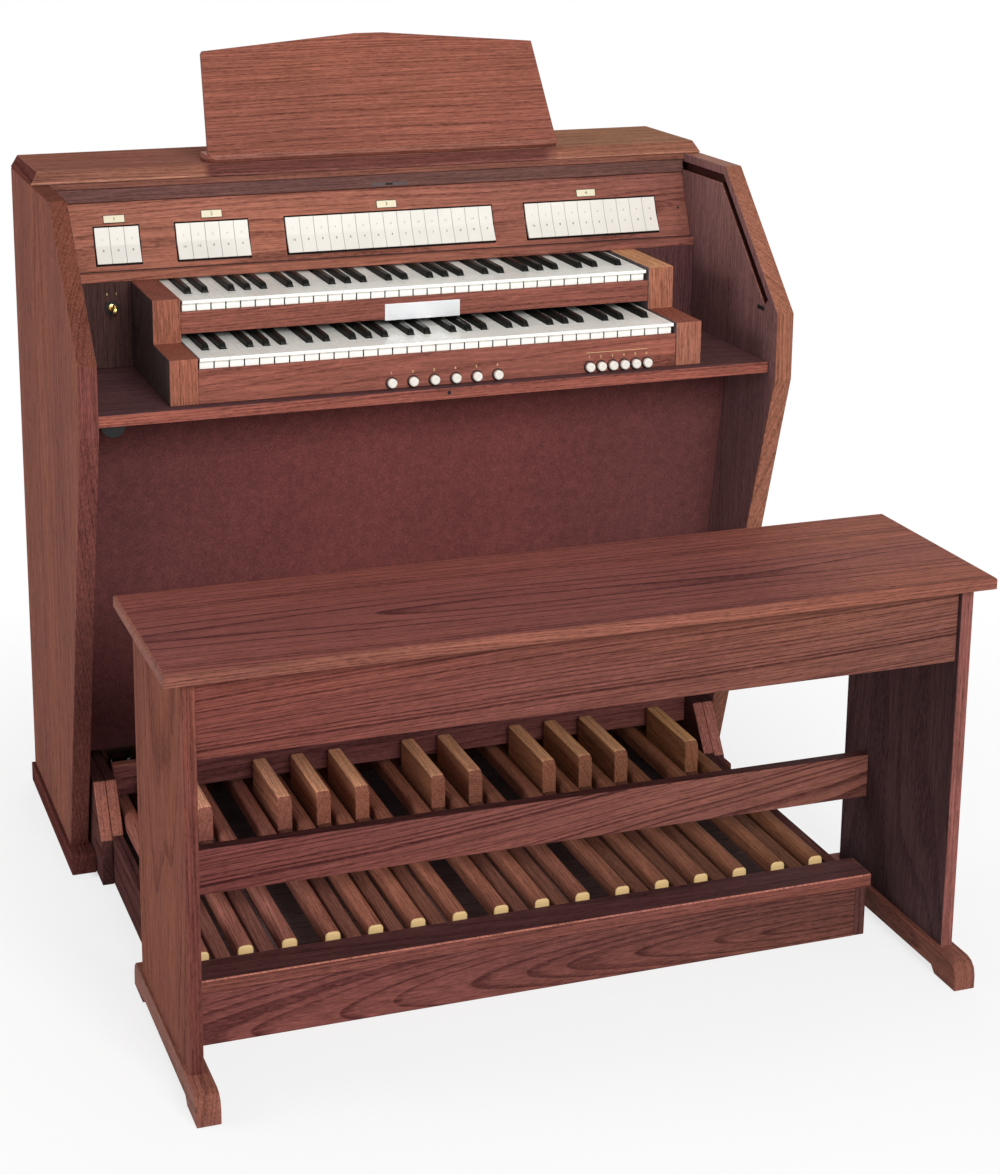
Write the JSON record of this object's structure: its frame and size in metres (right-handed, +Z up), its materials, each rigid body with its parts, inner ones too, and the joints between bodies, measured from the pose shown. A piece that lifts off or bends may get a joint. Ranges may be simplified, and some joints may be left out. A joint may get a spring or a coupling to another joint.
{
  "type": "electronic organ",
  "caption": "Home electronic organ in a wood console with manuals, rocker stop tabs, thumb pistons, a roll top, a music desk, a pedalboard and its bench.",
  "frame": {"origin": "on the floor, in the middle of the whole object's footprint, bench included", "axes": "+Z up, -Y towards the player and the bench, +X to the player's right"},
  "size_m": [1.2052, 1.165, 1.307],
  "materials": {
    "oak": "satin stain",
    "oak_dark": "satin stain",
    "pedal_oak": "clear satin",
    "speaker_cloth": "woven",
    "key_white": "gloss",
    "key_black": "gloss",
    "tab_white": "satin",
    "brass": "polished",
    "black_metal": "matt",
    "grey_metal": "cast",
    "hardboard": "raw"
  },
  "bodies": {
    "console": {"left_side_panel": "oak", "right_side_panel": "oak", "lid": "oak", "back_panel": "hardboard", "stop_panel": "oak", "setback_board": "oak", "shelf": "oak", "kick_panel": "speaker_cloth", "loudspeaker": "black_metal", "electronics_chassis": "grey_metal", "music_desk": "oak", "key_cheek_left": "oak", "key_cheek_right": "oak", "middle_rail": "oak", "key_slip": "oak", "pedal_frame": "oak"},
    "bench": {"bench_top": "oak", "bench_side_left": "oak", "bench_side_right": "oak", "bench_apron": "oak", "bench_stretcher": "oak"},
    "roll_top": {"roll_top": "oak_dark"},
    "upper_naturals": {"upper_naturals": "key_white"},
    "upper_sharps": {"upper_sharps": "key_black"},
    "lower_naturals": {"lower_naturals": "key_white"},
    "lower_sharps": {"lower_sharps": "key_black"},
    "stop_tabs_couplers": {"stop_tabs_couplers": "tab_white"},
    "stop_tabs_pedal": {"stop_tabs_pedal": "tab_white"},
    "stop_tabs_great": {"stop_tabs_great": "tab_white"},
    "stop_tabs_swell": {"stop_tabs_swell": "tab_white"},
    "pistons_centre": {"pistons_centre": "tab_white"},
    "pistons_right": {"pistons_right": "tab_white"},
    "power_key": {"power_key": "brass"},
    "pedal_01": {"pedal_01": "pedal_oak"},
    "pedal_02": {"pedal_02": "pedal_oak"},
    "pedal_03": {"pedal_03": "pedal_oak"},
    "pedal_04": {"pedal_04": "pedal_oak"},
    "pedal_05": {"pedal_05": "pedal_oak"},
    "pedal_06": {"pedal_06": "pedal_oak"},
    "pedal_07": {"pedal_07": "pedal_oak"},
    "pedal_08": {"pedal_08": "pedal_oak"},
    "pedal_09": {"pedal_09": "pedal_oak"},
    "pedal_10": {"pedal_10": "pedal_oak"},
    "pedal_11": {"pedal_11": "pedal_oak"},
    "pedal_12": {"pedal_12": "pedal_oak"},
    "pedal_13": {"pedal_13": "pedal_oak"},
    "pedal_14": {"pedal_14": "pedal_oak"},
    "pedal_15": {"pedal_15": "pedal_oak"},
    "pedal_16": {"pedal_16": "pedal_oak"},
    "pedal_17": {"pedal_17": "pedal_oak"},
    "pedal_18": {"pedal_18": "pedal_oak"},
    "pedal_19": {"pedal_19": "pedal_oak"},
    "pedal_20": {"pedal_20": "pedal_oak"},
    "pedal_21": {"pedal_21": "pedal_oak"},
    "pedal_22": {"pedal_22": "pedal_oak"},
    "pedal_23": {"pedal_23": "pedal_oak"},
    "pedal_24": {"pedal_24": "pedal_oak"},
    "pedal_25": {"pedal_25": "pedal_oak"},
    "pedal_26": {"pedal_26": "pedal_oak"},
    "pedal_27": {"pedal_27": "pedal_oak"}
  },
  "joints": [
    {"name": "upper_naturals_press", "type": "hinge", "parent": "console", "child": "upper_naturals", "pos_m": [-0.01365, 0.4255, 0.9181], "axis": [1, 0, 0], "range_deg": [0, 2.3], "stiffness_Nm_per_rad": 150, "springref_deg": -2.86},
    {"name": "upper_sharps_press", "type": "hinge", "parent": "console", "child": "upper_sharps", "pos_m": [-0.01365, 0.4585, 0.9243], "axis": [1, 0, 0], "range_deg": [0, 2.4], "stiffness_Nm_per_rad": 150, "springref_deg": -2.86},
    {"name": "lower_naturals_press", "type": "hinge", "parent": "console", "child": "lower_naturals", "pos_m": [-0.01365, 0.314, 0.8525], "axis": [1, 0, 0], "range_deg": [0, 2.3], "stiffness_Nm_per_rad": 150, "springref_deg": -2.86},
    {"name": "lower_sharps_press", "type": "hinge", "parent": "console", "child": "lower_sharps", "pos_m": [-0.01365, 0.347, 0.8587], "axis": [1, 0, 0], "range_deg": [0, 2.4], "stiffness_Nm_per_rad": 150, "springref_deg": -2.86},
    {"name": "stop_tabs_couplers_rock", "type": "hinge", "parent": "console", "child": "stop_tabs_couplers", "pos_m": [-0.01615, 0.366, 0.9919], "axis": [1, 0, 0], "range_deg": [0, 9]},
    {"name": "stop_tabs_pedal_rock", "type": "hinge", "parent": "console", "child": "stop_tabs_pedal", "pos_m": [-0.01615, 0.366, 0.9919], "axis": [1, 0, 0], "range_deg": [0, 9]},
    {"name": "stop_tabs_great_rock", "type": "hinge", "parent": "console", "child": "stop_tabs_great", "pos_m": [-0.01615, 0.366, 0.9919], "axis": [1, 0, 0], "range_deg": [0, 9]},
    {"name": "stop_tabs_swell_rock", "type": "hinge", "parent": "console", "child": "stop_tabs_swell", "pos_m": [-0.01615, 0.366, 0.9919], "axis": [1, 0, 0], "range_deg": [0, 9]},
    {"name": "pistons_centre_push", "type": "slide", "parent": "console", "child": "pistons_centre", "axis": [0, 1, 0], "range_m": [0, 0.003], "stiffness_N_per_m": 300, "springref_m": -0.005},
    {"name": "pistons_right_push", "type": "slide", "parent": "console", "child": "pistons_right", "axis": [0, 1, 0], "range_m": [0, 0.003], "stiffness_N_per_m": 300, "springref_m": -0.005},
    {"name": "power_key_turn", "type": "hinge", "parent": "console", "child": "power_key", "pos_m": [-0.48215, 0.3312, 0.899], "axis": [0, -1, 0], "range_deg": [0, 90]},
    {"name": "roll_top_slide", "type": "slide", "parent": "console", "child": "roll_top", "axis": [0, -1, 0], "range_m": [0, 0.14]},
    {"name": "pedal_01_press", "type": "hinge", "parent": "console", "child": "pedal_01", "pos_m": [-0.50865, 0.4105, 0.0828], "axis": [1, 0, 0], "range_deg": [0, 1], "stiffness_Nm_per_rad": 200, "springref_deg": -1.15},
    {"name": "pedal_02_press", "type": "hinge", "parent": "console", "child": "pedal_02", "pos_m": [-0.47642, 0.4105, 0.0828], "axis": [1, 0, 0], "range_deg": [0, 1], "stiffness_Nm_per_rad": 200, "springref_deg": -1.15},
    {"name": "pedal_03_press", "type": "hinge", "parent": "console", "child": "pedal_03", "pos_m": [-0.44419, 0.4105, 0.0828], "axis": [1, 0, 0], "range_deg": [0, 1], "stiffness_Nm_per_rad": 200, "springref_deg": -1.15},
    {"name": "pedal_04_press", "type": "hinge", "parent": "console", "child": "pedal_04", "pos_m": [-0.41196, 0.4105, 0.0828], "axis": [1, 0, 0], "range_deg": [0, 1], "stiffness_Nm_per_rad": 200, "springref_deg": -1.15},
    {"name": "pedal_05_press", "type": "hinge", "parent": "console", "child": "pedal_05", "pos_m": [-0.37973, 0.4105, 0.0828], "axis": [1, 0, 0], "range_deg": [0, 1], "stiffness_Nm_per_rad": 200, "springref_deg": -1.15},
    {"name": "pedal_06_press", "type": "hinge", "parent": "console", "child": "pedal_06", "pos_m": [-0.31527, 0.4105, 0.0828], "axis": [1, 0, 0], "range_deg": [0, 1], "stiffness_Nm_per_rad": 200, "springref_deg": -1.15},
    {"name": "pedal_07_press", "type": "hinge", "parent": "console", "child": "pedal_07", "pos_m": [-0.28304, 0.4105, 0.0828], "axis": [1, 0, 0], "range_deg": [0, 1], "stiffness_Nm_per_rad": 200, "springref_deg": -1.15},
    {"name": "pedal_08_press", "type": "hinge", "parent": "console", "child": "pedal_08", "pos_m": [-0.25081, 0.4105, 0.0828], "axis": [1, 0, 0], "range_deg": [0, 1], "stiffness_Nm_per_rad": 200, "springref_deg": -1.15},
    {"name": "pedal_09_press", "type": "hinge", "parent": "console", "child": "pedal_09", "pos_m": [-0.21858, 0.4105, 0.0828], "axis": [1, 0, 0], "range_deg": [0, 1], "stiffness_Nm_per_rad": 200, "springref_deg": -1.15},
    {"name": "pedal_10_press", "type": "hinge", "parent": "console", "child": "pedal_10", "pos_m": [-0.18635, 0.4105, 0.0828], "axis": [1, 0, 0], "range_deg": [0, 1], "stiffness_Nm_per_rad": 200, "springref_deg": -1.15},
    {"name": "pedal_11_press", "type": "hinge", "parent": "console", "child": "pedal_11", "pos_m": [-0.15412, 0.4105, 0.0828], "axis": [1, 0, 0], "range_deg": [0, 1], "stiffness_Nm_per_rad": 200, "springref_deg": -1.15},
    {"name": "pedal_12_press", "type": "hinge", "parent": "console", "child": "pedal_12", "pos_m": [-0.12189, 0.4105, 0.0828], "axis": [1, 0, 0], "range_deg": [0, 1], "stiffness_Nm_per_rad": 200, "springref_deg": -1.15},
    {"name": "pedal_13_press", "type": "hinge", "parent": "console", "child": "pedal_13", "pos_m": [-0.05743, 0.4105, 0.0828], "axis": [1, 0, 0], "range_deg": [0, 1], "stiffness_Nm_per_rad": 200, "springref_deg": -1.15},
    {"name": "pedal_14_press", "type": "hinge", "parent": "console", "child": "pedal_14", "pos_m": [-0.0252, 0.4105, 0.0828], "axis": [1, 0, 0], "range_deg": [0, 1], "stiffness_Nm_per_rad": 200, "springref_deg": -1.15},
    {"name": "pedal_15_press", "type": "hinge", "parent": "console", "child": "pedal_15", "pos_m": [0.00703, 0.4105, 0.0828], "axis": [1, 0, 0], "range_deg": [0, 1], "stiffness_Nm_per_rad": 200, "springref_deg": -1.15},
    {"name": "pedal_16_press", "type": "hinge", "parent": "console", "child": "pedal_16", "pos_m": [0.03926, 0.4105, 0.0828], "axis": [1, 0, 0], "range_deg": [0, 1], "stiffness_Nm_per_rad": 200, "springref_deg": -1.15},
    {"name": "pedal_17_press", "type": "hinge", "parent": "console", "child": "pedal_17", "pos_m": [0.07149, 0.4105, 0.0828], "axis": [1, 0, 0], "range_deg": [0, 1], "stiffness_Nm_per_rad": 200, "springref_deg": -1.15},
    {"name": "pedal_18_press", "type": "hinge", "parent": "console", "child": "pedal_18", "pos_m": [0.13595, 0.4105, 0.0828], "axis": [1, 0, 0], "range_deg": [0, 1], "stiffness_Nm_per_rad": 200, "springref_deg": -1.15},
    {"name": "pedal_19_press", "type": "hinge", "parent": "console", "child": "pedal_19", "pos_m": [0.16818, 0.4105, 0.0828], "axis": [1, 0, 0], "range_deg": [0, 1], "stiffness_Nm_per_rad": 200, "springref_deg": -1.15},
    {"name": "pedal_20_press", "type": "hinge", "parent": "console", "child": "pedal_20", "pos_m": [0.20041, 0.4105, 0.0828], "axis": [1, 0, 0], "range_deg": [0, 1], "stiffness_Nm_per_rad": 200, "springref_deg": -1.15},
    {"name": "pedal_21_press", "type": "hinge", "parent": "console", "child": "pedal_21", "pos_m": [0.23264, 0.4105, 0.0828], "axis": [1, 0, 0], "range_deg": [0, 1], "stiffness_Nm_per_rad": 200, "springref_deg": -1.15},
    {"name": "pedal_22_press", "type": "hinge", "parent": "console", "child": "pedal_22", "pos_m": [0.26487, 0.4105, 0.0828], "axis": [1, 0, 0], "range_deg": [0, 1], "stiffness_Nm_per_rad": 200, "springref_deg": -1.15},
    {"name": "pedal_23_press", "type": "hinge", "parent": "console", "child": "pedal_23", "pos_m": [0.2971, 0.4105, 0.0828], "axis": [1, 0, 0], "range_deg": [0, 1], "stiffness_Nm_per_rad": 200, "springref_deg": -1.15},
    {"name": "pedal_24_press", "type": "hinge", "parent": "console", "child": "pedal_24", "pos_m": [0.32933, 0.4105, 0.0828], "axis": [1, 0, 0], "range_deg": [0, 1], "stiffness_Nm_per_rad": 200, "springref_deg": -1.15},
    {"name": "pedal_25_press", "type": "hinge", "parent": "console", "child": "pedal_25", "pos_m": [0.39379, 0.4105, 0.0828], "axis": [1, 0, 0], "range_deg": [0, 1], "stiffness_Nm_per_rad": 200, "springref_deg": -1.15},
    {"name": "pedal_26_press", "type": "hinge", "parent": "console", "child": "pedal_26", "pos_m": [0.42602, 0.4105, 0.0828], "axis": [1, 0, 0], "range_deg": [0, 1], "stiffness_Nm_per_rad": 200, "springref_deg": -1.15},
    {"name": "pedal_27_press", "type": "hinge", "parent": "console", "child": "pedal_27", "pos_m": [0.45825, 0.4105, 0.0828], "axis": [1, 0, 0], "range_deg": [0, 1], "stiffness_Nm_per_rad": 200, "springref_deg": -1.15},
    {"name": "bench_move", "type": "slide", "parent": "console", "child": "bench", "axis": [0, -1, 0], "range_m": [-0.05, 0.3]}
  ]
}
